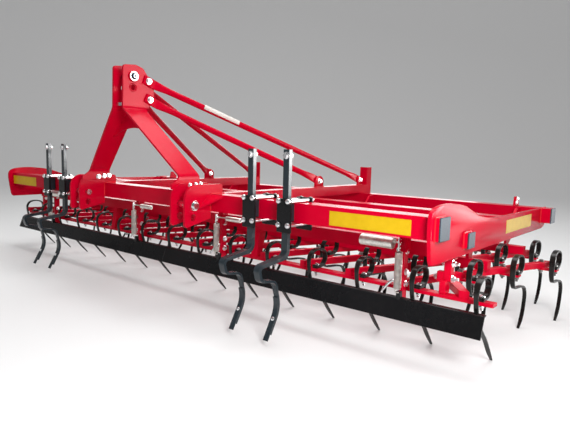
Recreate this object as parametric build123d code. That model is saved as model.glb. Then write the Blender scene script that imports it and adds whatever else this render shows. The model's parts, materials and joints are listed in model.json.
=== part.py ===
from build123d import *
import math
import os

os.makedirs("parts", exist_ok=True)

# Spring tine cultivator, mounted on a three-point hitch. Millimetres.
# X runs across the machine, +Y points away from the tractor, +Z is up.
# Lengths along Y are first counted from the front beam's front face and
# moved to the middle of the machine at the end; heights count from the ground.

# Main frame
frame_half = 1500.0          # outer face of an end plate
stub_out = 45.0              # how far a beam passes its end plate
near_end = frame_half - 100.0          # middle of the hangers near an end plate
front_h, front_d = 75.0, 75.0
front_top = 530.0
second_h, second_d, second_y, second_top = 50.0, 50.0, 188.0, 416.0
third_y, rear_y = 650.0, 1205.0
cross_h, cross_d, cross_top = 70.0, 72.0, 480.0
long_w, long_x = 50.0, 450.0
plate_t = 12.0
hole_gap = 0.3               # all round a beam in the hole of its end plate
cap_t = 5.0
wall = 5.0                   # wall of every box beam

# End plate outline
plate_front, plate_rear = -14.0, 1318.0
plate_low_front, plate_low_rear = 374.0, 377.0
plate_hump_top, plate_hump_len, plate_waist_y = 568.0, 175.0, 420.0
plate_waist_top = 486.0

# Three-point hitch, for pins of category II
link_half, link_gap = 420.0, 78.0      # middle and free gap of a lower bracket
bracket_t, bracket_front = 12.0, -138.0
lower_pin_r, lower_pin_y, upper_pin_z, spare_pin_z = 14.0, -98.0, 485.0, 434.0
bracket_top, bracket_low, bracket_rear = 572.0, 392.0, 68.0
pin_clear = 0.3
gusset_out, gusset_t = 82.0, 10.0

# Mast
cheek_half, mast_t = 34.0, 10.0        # inner face of a cheek, plate thickness
mast_front, mast_top = -154.0, 1100.0
knee_z = mast_top - 200.0
top_pin_r, top_pin_y = 12.5, -99.0
top_pin_z, spare_top_z = mast_top - 54.0, mast_top - 104.0
boss_r, boss_t = 24.0, 6.0
foot_low, foot_high = 548.0, 618.0
foot_front, foot_rear = -86.0, 24.0
foot_nose_y, foot_nose_z = -130.0, 566.0
leg_rise = knee_z - foot_high
arch_z, arch_foot_z = knee_z - 0.31 * leg_rise, knee_z - 0.64 * leg_rise
web_t, web_y = 8.0, -70.0
spacer_h = 14.0

# Stays from the mast to the long beams
stay_r, tongue_t, tongue_w, tongue_len = 15.0, 8.0, 40.0, 66.0
stay_up_y, stay_up_z = -19.0, mast_top - 69.0
stay_low_y, stay_low_z = -11.0, mast_top - 154.0
ear_front_y, ear_rear_y, ear_z, ear_t, ear_w = 838.0, 1232.0, 560.0, 10.0, 46.0
post_w, post_top, post_y = 50.0, 636.0, 1277.0
lug_x, lug_t, lug_h = frame_half - 128.0, 10.0, 46.0
seat = 0.3                   # play at a bolted joint

# Track looseners
loosener_x = (link_half + 322.0, link_half + 504.0)
shank_w, shank_t = 28.0, 18.0
leg_w, leg_t = 20.0, 9.0     # the shank tapers below its hook
taper_top, taper_low = 258.0, 190.0
shank_y, shank_top = -29.0, 730.0
clamp_w, clamp_h, clamp_t = 78.0, 128.0, 10.0
clamp_bolt_r = 7.0
point_w, point_t = 22.0, 5.0

# Levelling board
board_past, board_gap = 36.0, 6.0      # past the outermost tine; gap in the middle
board_top_y, board_top_z, board_low_y, board_low_z = 122.0, 214.0, 95.0, 143.0
board_t, lip = 5.0, 14.0
arm_x, arm_shift = (long_x - 122.0, frame_half - 236.0), 62.0
arm_t, arm_w, arm_top, arm_low = 12.0, 32.0, 452.0, 160.0
spring_y, spring_low, spring_top, spring_r = 110.0, 240.0, 394.0, 14.0
side_spring_r, side_spring_z, side_spring_len = 21.0, 411.0, 155.0

# Tine gangs
tine_pitch, tine_cols = 228.0, (-7, 7)
tine_w, tine_t = 22.0, 8.0
loop_z = 290.0
tine_aside = 54.0            # middle of a tine to the middle of its bar, across
row_y = {"a": 190.0, "b": 460.0, "c": 692.0, "d": 925.0, "e": 1150.0}
gang_shift = 364.8           # sideways shift from the first row to the last
bar_w, bar_low = 26.0, 246.0
bar_front, bar_past = 172.0, 42.0
seat_plate_t, seat_plate_len = 8.0, 36.0
tie_w, tie_t, tie_past = 40.0, 12.0, 44.0
gang_w, gang_half = 38.0, frame_half - 15.0
gang_front_y, gang_rear_y = 552.0, 1020.0
hanger_t = 12.0


def block(x0, x1, y0, y1, z0, z1):
    return Pos((x0 + x1) / 2, (y0 + y1) / 2, (z0 + z1) / 2) * Box(x1 - x0, y1 - y0, z1 - z0)


def rounded(corners):
    """Face from corners (u, v, radius), each corner rounded by its radius."""
    n = len(corners)
    ends, mids = [], []
    for i, (u, v, r) in enumerate(corners):
        p = Vector(u, v)
        a = (Vector(*corners[i - 1][:2]) - p).normalized()
        b = (Vector(*corners[(i + 1) % n][:2]) - p).normalized()
        if r <= 0:
            ends.append((p, p))
            mids.append(None)
            continue
        half = math.acos(max(-1.0, min(1.0, a.dot(b)))) / 2
        cut = r / math.tan(half)
        middle = (a + b).normalized()
        ends.append((p + a * cut, p + b * cut))
        mids.append(p + middle * (r / math.sin(half) - r))
    edges = []
    for i in range(n):
        if mids[i] is not None:
            edges.append(ThreePointArc(ends[i][0], mids[i], ends[i][1]))
        start, end = ends[i][1], ends[(i + 1) % n][0]
        if (end - start).length > 1e-4:
            edges.append(Line(start, end))
    return make_face(edges)


def strip(path, thick=0.0, aside=0.0):
    """Face of a bent strip from its middle line, corners (u, v, radius).

    A corner may give its own thickness after the radius; aside shifts the strip to the
    left of the line.
    """
    left, right = [], []
    for i, (u, v, r, *own) in enumerate(path):
        p = Vector(u, v)
        a = (p - Vector(*path[i - 1][:2])).normalized() if i else None
        b = (Vector(*path[i + 1][:2]) - p).normalized() if i < len(path) - 1 else None
        a, b = a or b, b or a
        turn = a.X * b.Y - a.Y * b.X
        side = Vector(-(a.Y + b.Y), a.X + b.X).normalized()
        half = (own[0] if own else thick) / 2
        for edge, shift in ((left, aside + half), (right, aside - half)):
            q = p + side * (shift / max(0.3, math.sqrt((1 + a.dot(b)) / 2)))
            edge.append((q.X, q.Y, r - math.copysign(shift, turn * shift) if r > 0 else 0))
    return rounded(left + right[::-1])


def along_x(face, x0, x1):
    """Extrude a face drawn in (y, z) from x0 to x1."""
    return extrude(Plane.YZ.offset(x0) * face, amount=x1 - x0, dir=(1, 0, 0))


def along_y(face, y0, y1):
    """Extrude a face drawn in (x, z) from y0 to y1."""
    return extrude(Plane.XZ.offset(-y0) * face, amount=y1 - y0, dir=(0, 1, 0))


def along_z(face, z0, z1):
    return extrude(Plane.XY.offset(z0) * face, amount=z1 - z0, dir=(0, 0, 1))


def rod_x(x0, x1, y, z, r):
    return Pos((x0 + x1) / 2, y, z) * Rot(0, 90, 0) * Cylinder(r, x1 - x0)


def rod_y(y0, y1, x, z, r):
    return Pos(x, (y0 + y1) / 2, z) * Rot(90, 0, 0) * Cylinder(r, y1 - y0)


def mirrored(shape):
    return mirror(shape, about=Plane.YZ)


nodes = {}


def both_sides(name, shapes):
    """Keep shapes made at +X as the left node, and their mirror as the right one."""
    nodes[name + "_left"] = list(shapes)
    nodes[name + "_right"] = [mirrored(s) for s in shapes]


# Cross beams of the frame: node, half length, y, depth, top, height
beam_end = frame_half + stub_out
cross_beams = (
    ("front_beam", beam_end, 0.0, front_d, front_top, front_h),
    ("second_beam", beam_end - 5.0, second_y, second_d, second_top, second_h),
    ("third_beam", frame_half - plate_t, third_y, cross_d, cross_top, cross_h),
    ("rear_beam", beam_end, rear_y, cross_d, cross_top, cross_h),
)
caps = []
plate_cuts = []
for name, half, y, depth, top, height in cross_beams:
    tube = block(-half, half, y, y + depth, top - height, top)
    tube -= block(-half - 1, half + 1, y + wall, y + depth - wall, top - height + wall, top - wall)
    nodes[name] = [tube]
    if half > frame_half:
        caps.append(block(half, half + cap_t, y - 1, y + depth + 1, top - height - 1, top + 1))
        g = hole_gap
        plate_cuts.append(block(0, half, y - g, y + depth + g, top - height - g, top + g))
both_sides("beam_caps", caps)

plate_face = rounded((
    (plate_front, plate_low_front, 14),
    (plate_rear, plate_low_rear, 60),
    (plate_rear, plate_waist_top - 2, 14),
    (plate_waist_y, plate_waist_top, 160),
    (plate_hump_len, plate_hump_top, 110),
    (plate_front, plate_hump_top, 46),
))
end_plate = along_x(plate_face, frame_half - plate_t, frame_half)
for cut in plate_cuts:
    end_plate -= cut
both_sides("end_plate", [end_plate])

# Long beams on the cross beams, butted against the front beam
long_end = rear_y + cross_d
both_sides("long_beam", [block(long_x - long_w / 2, long_x + long_w / 2, front_d, long_end,
                               cross_top, cross_top + long_w)])

# Lower hitch brackets: two plates, a gusset outside each, and the fitted pin
inner_x0 = link_half - link_gap / 2 - bracket_t
outer_x0 = link_half + link_gap / 2
bracket_face = rounded((
    (bracket_front, bracket_low, 26),
    (0.0, front_top - front_h - 34, 0),
    (0.0, front_top, 0),
    (bracket_rear, front_top, 0),
    (bracket_rear, bracket_top - 8, 6),
    (bracket_rear - 14, bracket_top, 6),
    (bracket_front + 34, bracket_top, 10),
    (bracket_front, bracket_top - 24, 10),
))
plates = []
for x0 in (inner_x0, outer_x0):
    plate = along_x(bracket_face, x0, x0 + bracket_t)
    for z in (upper_pin_z, spare_pin_z):
        plate -= rod_x(x0 - 1, x0 + bracket_t + 1, lower_pin_y, z,
                       lower_pin_r + (pin_clear if z == spare_pin_z else seat))
    plates.append(plate)
gusset_face = rounded(((outer_x0 + bracket_t, 0.0, 0), (outer_x0 + bracket_t, -gusset_out, 0),
                       (outer_x0 + bracket_t + 12, -gusset_out, 0),
                       (outer_x0 + bracket_t + gusset_out, 0.0, 0)))
plates.append(along_z(gusset_face, front_top - 10 - gusset_t, front_top - 10))
both_sides("hitch_plates", plates)
pin = rod_x(inner_x0 - 16, outer_x0 + bracket_t + 22, lower_pin_y, upper_pin_z, lower_pin_r)
pin += rod_x(outer_x0 + bracket_t + seat, outer_x0 + bracket_t + 12, lower_pin_y, upper_pin_z,
             lower_pin_r + 7)
both_sides("lower_pin", [pin])

# Mast: each side plate is one bent strip, cheek, leg and foot
foot_x = inner_x0 - seat
band = strip(((cheek_half + mast_t / 2, mast_top + 20, 0),
              (cheek_half + mast_t / 2, knee_z, 30),
              (foot_x - mast_t / 2, foot_high, 30),
              (foot_x - mast_t / 2, foot_low, 0)), mast_t)
side_face = rounded((
    (foot_nose_y, foot_low - 1, 0),
    (foot_rear, foot_low - 1, 0),
    (foot_rear, foot_high, 0),
    (-33.0, knee_z - 8, 20),
    (16.0, knee_z + 36, 12),
    (16.0, mast_top - 90, 20),
    (-44.0, mast_top - 12, 24),
    (-84.0, mast_top, 20),
    (mast_front + 4, mast_top - 6, 14),
    (mast_front, knee_z, 20),
    (foot_front, foot_high, 20),
    (foot_nose_y, foot_nose_z, 8),
))
side_plate = along_y(band, mast_front - 20, 60.0) & along_x(side_face, 0, foot_x + 10)
for z, r in ((top_pin_z, top_pin_r + seat), (spare_top_z, top_pin_r + pin_clear)):
    side_plate -= rod_x(0, 100, top_pin_y, z, r)
outer_cheek = cheek_half + mast_t
ring = rod_x(outer_cheek, outer_cheek + boss_t, top_pin_y, top_pin_z, boss_r)
ring -= rod_x(0, 100, top_pin_y, top_pin_z, top_pin_r + seat)
both_sides("mast_side", [side_plate + ring])

top_pin = rod_x(-outer_cheek - boss_t - 14, outer_cheek + boss_t + 14, top_pin_y, top_pin_z,
                top_pin_r)
top_pin += rod_x(outer_cheek + boss_t + seat, outer_cheek + boss_t + 10, top_pin_y, top_pin_z,
                 top_pin_r + 6)
nodes["top_pin"] = [top_pin]

# Arched web between the legs, cut to their inner faces
slope = (foot_x - mast_t - cheek_half) / (knee_z - foot_high)
face_shift = mast_t / 2 * math.sqrt(1 + slope ** 2) + seat


def leg_inner(z):
    return cheek_half + mast_t / 2 + (knee_z - z) * slope - face_shift


meet_z = knee_z - (face_shift - mast_t / 2) / slope
web_half = leg_inner(arch_foot_z)
arch_rise = arch_z - arch_foot_z
arch_r = (web_half ** 2 + arch_rise ** 2) / (2 * arch_rise)
web_face = Polygon((-cheek_half + seat, knee_z + 8), (-cheek_half + seat, meet_z),
                   (-web_half, arch_foot_z), (web_half, arch_foot_z),
                   (cheek_half - seat, meet_z), (cheek_half - seat, knee_z + 8), align=None)
web = along_y(web_face, web_y, web_y + web_t)
web -= rod_y(web_y - 5, web_y + web_t + 5, 0, arch_z - arch_r, arch_r)
nodes["mast_web"] = [web]
nodes["mast_spacer"] = [block(-cheek_half, cheek_half, mast_front + 14, mast_front + 26,
                              knee_z + 12, knee_z + 12 + spacer_h)]


# Stays: a tube between two flattened ends, bolted at (y, z) on the mast and the ear
def stay(y0, z0, x0, y1, z1, x1):
    run = Vector(0, y1 - y0, z1 - z0).normalized()
    ends = []
    for x, y, z, way in ((x0, y0, z0, 1), (x1, y1, z1, -1)):
        mid = Vector(x, y, z) + run * way * tongue_len / 2
        tilt = math.degrees(math.atan2(run.Z, run.Y))
        tongue = Pos(mid) * Rot(tilt, 0, 0) * Box(tongue_t, tongue_len + tongue_w, tongue_w)
        ends.append((tongue, Vector(x, y, z) + run * way * tongue_len))
    a, b = ends[0][1], ends[1][1]
    core = Plane(origin=a, z_dir=b - a) * Pos(0, 0, (b - a).length / 2)
    core = core * Cylinder(stay_r, (b - a).length)
    body = core + ends[0][0] + ends[1][0]
    for x, y, z in ((x0, y0, z0), (x1, y1, z1)):
        body -= rod_x(x - 20, x + 20, y, z, 8.5)
    return body


tongue_in = outer_cheek + seat + tongue_t / 2
tongue_out = long_x + ear_t / 2 + seat + tongue_t / 2
both_sides("stay_upper", [stay(stay_up_y, stay_up_z, tongue_in, ear_rear_y, ear_z, tongue_out)])
both_sides("stay_lower", [stay(stay_low_y, stay_low_z, tongue_in, ear_front_y, ear_z, tongue_out)])

long_top = cross_top + long_w
ears = []
for y in (ear_front_y, ear_rear_y):
    face = rounded(((y - ear_w / 2, long_top, 0), (y + ear_w / 2, long_top, 0),
                    (y + ear_w / 2, ear_z + ear_w / 2, ear_w / 2 - 0.5),
                    (y - ear_w / 2, ear_z + ear_w / 2, ear_w / 2 - 0.5)))
    ear = along_x(face, long_x - ear_t / 2, long_x + ear_t / 2)
    ears.append(ear - rod_x(long_x - 20, long_x + 20, y, ear_z, 8.5))
both_sides("stay_ears", ears)

post = block(long_x - post_w / 2, long_x + post_w / 2, post_y, post_y + post_w,
             cross_top - cross_h, post_top)
post -= block(long_x - post_w / 2 - 1, long_x + post_w / 2 - 6, post_y + 6, post_y + post_w + 1,
              cross_top - cross_h - 1, post_top + 1)
both_sides("rear_post", [post])
lug_face = Polygon((rear_y + 6, cross_top), (rear_y + cross_d - 4, cross_top),
                   (rear_y + cross_d - 4, cross_top + 14), (rear_y + 34, cross_top + lug_h),
                   (rear_y + 16, cross_top + lug_h), align=None)
lug = along_x(lug_face, lug_x - lug_t / 2, lug_x + lug_t / 2)
nodes["rear_beam"] = [nodes["rear_beam"][0] + lug + mirrored(lug)]

# Track looseners: shank, clamp and point. Corners of the shank: y, z, radius, thickness
leg_top, leg_bend, leg_tip = Vector(-92, 242), Vector(-62, 136), Vector(-127, 18)
leg_end = leg_bend + (leg_tip - leg_bend) * 0.8
point_start = leg_top + (leg_bend - leg_top) * 0.58
shank_path = ((shank_y, shank_top, 0, shank_t), (shank_y, 327.0, 30, shank_t),
              (-188.0, 306.0, 18, 13.0), (-173.0, 254.0, 20, 11.0),
              (leg_top.X, leg_top.Y, 34, leg_t), (leg_bend.X, leg_bend.Y, 105, leg_t),
              (leg_end.X, leg_end.Y, 0, leg_t))
point_path = ((point_start.X, point_start.Y, 0), (leg_bend.X, leg_bend.Y, 105),
              (leg_tip.X, leg_tip.Y, 0))
shank_face = strip(shank_path)
point_face = strip(point_path, point_t, -(leg_t + point_t) / 2)
taper = [(shank_w / 2, shank_top + 1), (shank_w / 2, taper_top), (leg_w / 2, taper_low),
         (leg_w / 2, 0.0)]
taper += [(-x, z) for x, z in taper[::-1]]
taper = along_y(Polygon(*taper, align=None), -300.0, 50.0)
shanks, clamps, points = [], [], []
for x in loosener_x:
    shank = along_x(shank_face, x - shank_w / 2, x + shank_w / 2) & Pos(x, 0, 0) * taper
    shanks.append(shank - rod_y(shank_y - 20, shank_y + 20, x, shank_top - 22, 7.5))
    points.append(along_x(point_face, x - point_w / 2, x + point_w / 2))
    front = shank_y - shank_t / 2 - clamp_t
    high = front_top + 17
    clamp = block(x - clamp_w / 2, x + clamp_w / 2, front, front + clamp_t, high - clamp_h, high)
    clamp += block(x - clamp_w / 2, x + clamp_w / 2, front_d, front_d + clamp_t,
                   high - clamp_h, high)
    for bx in (x - clamp_w / 2 + 13, x + clamp_w / 2 - 13):
        for bz in (front_top + clamp_bolt_r + 0.5, front_top - front_h - clamp_bolt_r - 0.5):
            clamp += rod_y(front - 8, front_d + clamp_t + 16, bx, bz, clamp_bolt_r)
    clamps.append(clamp)
    pad = block(x - clamp_w / 2 + 6, x + clamp_w / 2 - 6, shank_y + shank_t / 2, 0.0,
                front_top - front_h + 4, front_top - 4)
    shanks[-1] += pad
both_sides("loosener_shanks", shanks)
both_sides("loosener_clamps", clamps)
both_sides("loosener_points", points)

# Levelling board in two halves, each a plate with a turned lip and its spring lugs
tine_end = max(-tine_cols[0], tine_cols[1]) * tine_pitch
board_face = strip(((board_low_y, board_low_z, 0), (board_top_y, board_top_z, 7),
                    (board_top_y + lip, board_top_z + 2, 0)), board_t)
both_sides("level_board", [along_x(board_face, board_gap / 2,
                               tine_end + board_past)])

# Arms that carry the board, and their brackets on the front beam
arm_y = board_top_y + lip + 1.0
arm_face = rounded(((arm_y, arm_low, 0), (arm_y + arm_w, arm_low + 20, 0),
                    (arm_y + arm_w, arm_top, 15), (arm_y, arm_top, 15)))
bracket_outline = rounded((
    (front_d, front_top - front_h, 0),
    (front_d, front_top - 12, 0),
    (front_d + 30, front_top - 12, 8),
    (arm_y + arm_w, arm_top - 6, 14),
    (arm_y + arm_w, arm_top - 74, 14),
    (arm_y - 2, arm_top - 74, 8),
    (arm_y - 2, front_top - front_h - 12, 8),
    (front_d + 25, front_top - front_h, 8),
))
for side, suffix in ((1, "_left"), (-1, "_right")):
    arms, brackets, springs = [], [], []
    for place in arm_x:
        x = side * place + arm_shift
        arms.append(along_x(arm_face, x - arm_t / 2, x + arm_t / 2))
        for x0 in (x - arm_t / 2 - 8 - seat, x + arm_t / 2 + seat):
            brackets.append(along_x(bracket_outline, x0, x0 + 8))
        spring = Pos(x, spring_y, (spring_low + spring_top) / 2)
        spring = spring * Cylinder(spring_r, spring_top - spring_low)
        spring += block(x - 5, x + 5, spring_y - 4, spring_y + 4, spring_top - 6,
                        side_spring_z + side_spring_r)
        spring += block(x - 5, x + 5, spring_y, arm_y, side_spring_z - 8, side_spring_z + 8)
        way = -1 if x > long_x + 100 else 1
        ends = sorted((x + way * 4, x + way * side_spring_len))
        spring += rod_x(ends[0], ends[1], spring_y, side_spring_z, side_spring_r)
        springs.append(spring)
        lug = block(x - 8, x + 8, board_top_y - 4, board_top_y + lip - 2,
                    board_top_z - 12, spring_low)
        nodes["level_board" + suffix][0] += lug
    nodes["board_arms" + suffix] = arms
    nodes["arm_brackets" + suffix] = brackets
    nodes["board_springs" + suffix] = springs

# Tine gangs: front tie, skewed bars and two gang beams on the bars
tie_y = row_y["a"]
tie_top = bar_low
tie_end = tine_end + tie_past
nodes["front_tie"] = [block(-tie_end, tie_end, tie_y - tie_w / 2, tie_y + tie_w / 2,
                            tie_top - tie_t, tie_top)]
skew = gang_shift / (row_y["e"] - row_y["a"])
row_shift = {row: (y - row_y["a"]) * skew for row, y in row_y.items()}
first_col, last_col = tine_cols
outer_col = last_col - 1


def bar_x(col, y):
    return col * tine_pitch - tine_aside + (y - row_y["a"]) * skew


cols = {row: range(first_col, last_col) for row in row_y}
cols["a"], cols["e"] = range(first_col, last_col + 1), range(first_col, outer_col)
bars = []
for col in range(first_col, last_col):
    rows = [row for row in "bcde" if col in cols[row]]
    end = row_y[rows[-1]] + bar_past
    x0, x1 = bar_x(col, bar_front), bar_x(col, end)
    half = bar_w / 2
    face = Polygon((x0 - half, bar_front), (x0 + half, bar_front), (x1 + half, end),
                   (x1 - half, end), align=None)
    bar = along_z(face, bar_low, bar_low + bar_w)
    for row in rows:
        x, y = col * tine_pitch + row_shift[row], row_y[row]
        bar += block(x - tine_aside - half, x + tine_w / 2, y - seat_plate_len / 2,
                     y + seat_plate_len / 2, bar_low - seat_plate_t, bar_low)
    bars.append(bar)
nodes["tine_bars"] = bars
brace_x, brace_y = last_col * tine_pitch - tine_aside, (350.0, 398.0)
brace_face = Polygon((brace_x - 18, bar_front), (brace_x + 18, bar_front),
                     (bar_x(outer_col, brace_y[1]) + bar_w / 2, brace_y[1]),
                     (bar_x(outer_col, brace_y[0]) + bar_w / 2, brace_y[0]), align=None)
nodes["end_brace"] = [along_z(brace_face, bar_low, bar_low + bar_w)]

bar_top = bar_low + bar_w
for name, y in (("gang_beam_front", gang_front_y), ("gang_beam_rear", gang_rear_y)):
    nodes[name] = [block(-gang_half, gang_half, y, y + gang_w, bar_top, bar_top + gang_w)]

# Hangers, each a plate or block with its outline (y, z)
gang_top = bar_top + gang_w
low = cross_top - cross_h
front_hanger = ((second_y + 4, second_top - second_h), (second_y + second_d - 4, second_top - second_h),
                (tie_y + tie_w / 2 - 2, tie_top), (tie_y - tie_w / 2 + 2, tie_top))
third_hanger = ((third_y, cross_top - 6), (third_y, low), (gang_front_y + gang_w - 2, gang_top),
                (gang_front_y + 2, gang_top), (gang_front_y + 10, gang_top + 40),
                (third_y - 30, cross_top - 6))
rear_hanger = ((rear_y, cross_top - 6), (rear_y, low), (gang_rear_y + gang_w, gang_top),
               (gang_rear_y + 2, gang_top), (gang_rear_y + 10, gang_top + 40),
               (rear_y - 50, cross_top - 6))
# Node, thickness, places on the left, places on the right, outline
inner_hanger = 2.5 * tine_pitch
hanger_sets = (
    ("front_hangers", 3 * hanger_t, (inner_hanger, frame_half - 45),
     (inner_hanger, frame_half - 18), front_hanger),
    ("middle_hangers", hanger_t, (inner_hanger, near_end), (inner_hanger, near_end), third_hanger),
    ("rear_hangers", hanger_t, (inner_hanger, near_end), (inner_hanger, near_end), rear_hanger),
)
for name, thick, left, right, outline in hanger_sets:
    face = Polygon(*outline, align=None)
    nodes[name + "_left"] = [along_x(face, x - thick / 2, x + thick / 2) for x in left]
    nodes[name + "_right"] = [along_x(face, -x - thick / 2, thick / 2 - x) for x in right]

# Spring tines. Middle line of the strip, (y, z) from the loop's middle. The first row's
# legs come down behind the levelling board and sweep back; the others hook forward.
tine_seat = ((-14.0, -40.0), (36.0, -40.0), (58.0, -18.0), (54.0, 16.0), (22.0, 33.0),
             (-22.0, 33.0))
swept_leg = ((-48.0, 16.0), (-54.0, -12.0), (-48.0, -47.0), (-43.0, -74.0), (-22.0, -118.0),
             (18.0, -158.0), (62.0, -198.0), (98.0, -243.0), (138.0, -288.0))
hooked_leg = ((-54.0, 16.0), (-60.0, -12.0), (-56.0, -60.0), (-40.0, -92.0), (60.0, -103.0),
              (112.0, -118.0), (132.0, -150.0), (124.0, -215.0), (100.0, -258.0), (72.0, -288.0))
for row, y in row_y.items():
    tine_path = tine_seat + (swept_leg if row == "a" else hooked_leg)
    face = strip([(y + u, loop_z + v, 0) for u, v in tine_path], tine_t)
    tines = []
    for col in cols[row]:
        x = col * tine_pitch + row_shift[row]
        tines.append(along_x(face, x - tine_w / 2, x + tine_w / 2))
    nodes["tines_row_" + row] = tines

# Move the middle of the machine to Y = 0 and its lowest point to Z = 0, and write it out
boxes = [s.bounding_box() for solids in nodes.values() for s in solids]
mid_y = (min(b.min.Y for b in boxes) + max(b.max.Y for b in boxes)) / 2
mid_x = (min(b.min.X for b in boxes) + max(b.max.X for b in boxes)) / 2
floor = min(b.min.Z for b in boxes)
for name, solids in nodes.items():
    whole = Compound([Pos(-mid_x, -mid_y, -floor) * s.solid() for s in solids])
    export_step(whole, f"parts/{name}.step")
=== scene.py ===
"""Looks of the spring tine cultivator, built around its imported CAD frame."""
import json
import math
import random

import bmesh
import bpy
from mathutils import Matrix, Vector


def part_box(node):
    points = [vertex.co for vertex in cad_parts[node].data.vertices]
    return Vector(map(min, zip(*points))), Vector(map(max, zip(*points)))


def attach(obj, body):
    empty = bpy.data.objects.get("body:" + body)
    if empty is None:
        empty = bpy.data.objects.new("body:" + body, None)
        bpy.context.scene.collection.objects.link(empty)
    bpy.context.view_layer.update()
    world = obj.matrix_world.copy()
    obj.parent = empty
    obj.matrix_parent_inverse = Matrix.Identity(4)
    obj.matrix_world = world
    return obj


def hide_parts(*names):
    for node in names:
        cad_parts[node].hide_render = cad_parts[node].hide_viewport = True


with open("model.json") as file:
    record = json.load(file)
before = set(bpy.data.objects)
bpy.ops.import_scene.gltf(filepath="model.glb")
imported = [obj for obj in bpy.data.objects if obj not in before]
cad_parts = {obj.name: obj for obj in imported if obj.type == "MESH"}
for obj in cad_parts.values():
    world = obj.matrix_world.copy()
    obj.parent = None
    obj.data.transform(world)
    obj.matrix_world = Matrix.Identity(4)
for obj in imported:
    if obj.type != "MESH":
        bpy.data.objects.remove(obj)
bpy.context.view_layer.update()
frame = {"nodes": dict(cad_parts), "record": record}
rng = random.Random(7)

# Places and sizes are in millimetres, counted as in the CAD source: x from the middle of the
# frame, y from the front beam's front face, z from the ground. The left side is at +X.
MM = 0.001
BEAM_TOP = 530.0             # top of the front beam and of the long beams
SIDES = ((1, "left"), (-1, "right"))
X, Y, Z = 0, 1, 2
front_beam_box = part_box("front_beam")
ORIGIN = Vector(((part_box("end_plate_left")[1][X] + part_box("end_plate_right")[0][X]) / 2,
                 front_beam_box[0][Y], front_beam_box[1][Z] - BEAM_TOP * MM))


def place(x, y, z):
    return ORIGIN + Vector((x, y, z)) * MM


def span(node, axis):
    """Where a node begins and ends along an axis, to a tenth of a millimetre."""
    return [round((corner[axis] - ORIGIN[axis]) / MM, 1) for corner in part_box(node)]


def middle(node, axis):
    return sum(span(node, axis)) / 2


FRAME_HALF = span("end_plate_left", X)[1]
BEAM_D = span("front_beam", Y)[1]
BEAM_LOW = span("front_beam", Z)[0]
LONG_X = middle("long_beam_left", X)
LONG_HALF = LONG_X - span("long_beam_left", X)[0]
CROSS_LOW, CROSS_TOP = span("third_beam", Z)
REAR_FRONT, REAR_BACK = span("rear_beam", Y)


# Camera: its place, its turns in radians, and its lens

EYE = (2190.43, -1553.22, 726.35)
YAW, PITCH, ROLL = 0.696128, 0.117624, 0.026292
LENS, SENSOR, SIGHT = 33.50, 36.0, 100.0

camera_data = bpy.data.cameras.new("camera")
camera_data.lens = LENS
camera_data.sensor_width = SENSOR
camera_data.clip_end = SIGHT
camera = bpy.data.objects.new("camera", camera_data)
look = Vector((-math.sin(YAW) * math.cos(PITCH), math.cos(YAW) * math.cos(PITCH),
               -math.sin(PITCH)))
level = Vector((math.cos(YAW), math.sin(YAW), 0))
upright = level.cross(look)
right = level * math.cos(ROLL) + upright * math.sin(ROLL)
up = upright * math.cos(ROLL) - level * math.sin(ROLL)
camera.matrix_world = Matrix.Translation(place(*EYE)) @ Matrix(
    (right, up, -look)).transposed().to_4x4()
bpy.context.scene.collection.objects.link(camera)
bpy.context.scene.camera = camera


# Materials. Their lengths are metres.

DUST = (0.42, 0.36, 0.31, 1)


def material(name):
    made = bpy.data.materials.new(name)
    made.use_nodes = True
    nodes = made.node_tree.nodes
    return made, nodes, made.node_tree.links, nodes["Principled BSDF"]


def noise(nodes, links, scale, detail):
    where = nodes.new("ShaderNodeTexCoord")
    texture = nodes.new("ShaderNodeTexNoise")
    texture.inputs["Scale"].default_value = scale
    texture.inputs["Detail"].default_value = detail
    links.new(where.outputs["Object"], texture.inputs["Vector"])
    return texture.outputs["Fac"]


def ramp(nodes, links, value, low, high):
    """Blend between two stops, each a position and a colour."""
    made = nodes.new("ShaderNodeValToRGB")
    links.new(value, made.inputs["Fac"])
    for element, (position, colour) in zip(made.color_ramp.elements, (low, high)):
        element.position = position
        element.color = (*colour, 1)
    return made.outputs["Color"]


def grey(value):
    return (value, value, value)


def relief(nodes, links, height, strength, distance, soften):
    """Bump over normals that are rounded at every edge."""
    edge = nodes.new("ShaderNodeBevel")
    edge.samples = 4
    edge.inputs["Radius"].default_value = soften
    bump = nodes.new("ShaderNodeBump")
    bump.inputs["Strength"].default_value = strength
    bump.inputs["Distance"].default_value = distance
    links.new(height, bump.inputs["Height"])
    links.new(edge.outputs["Normal"], bump.inputs["Normal"])
    return bump.outputs["Normal"]


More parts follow.
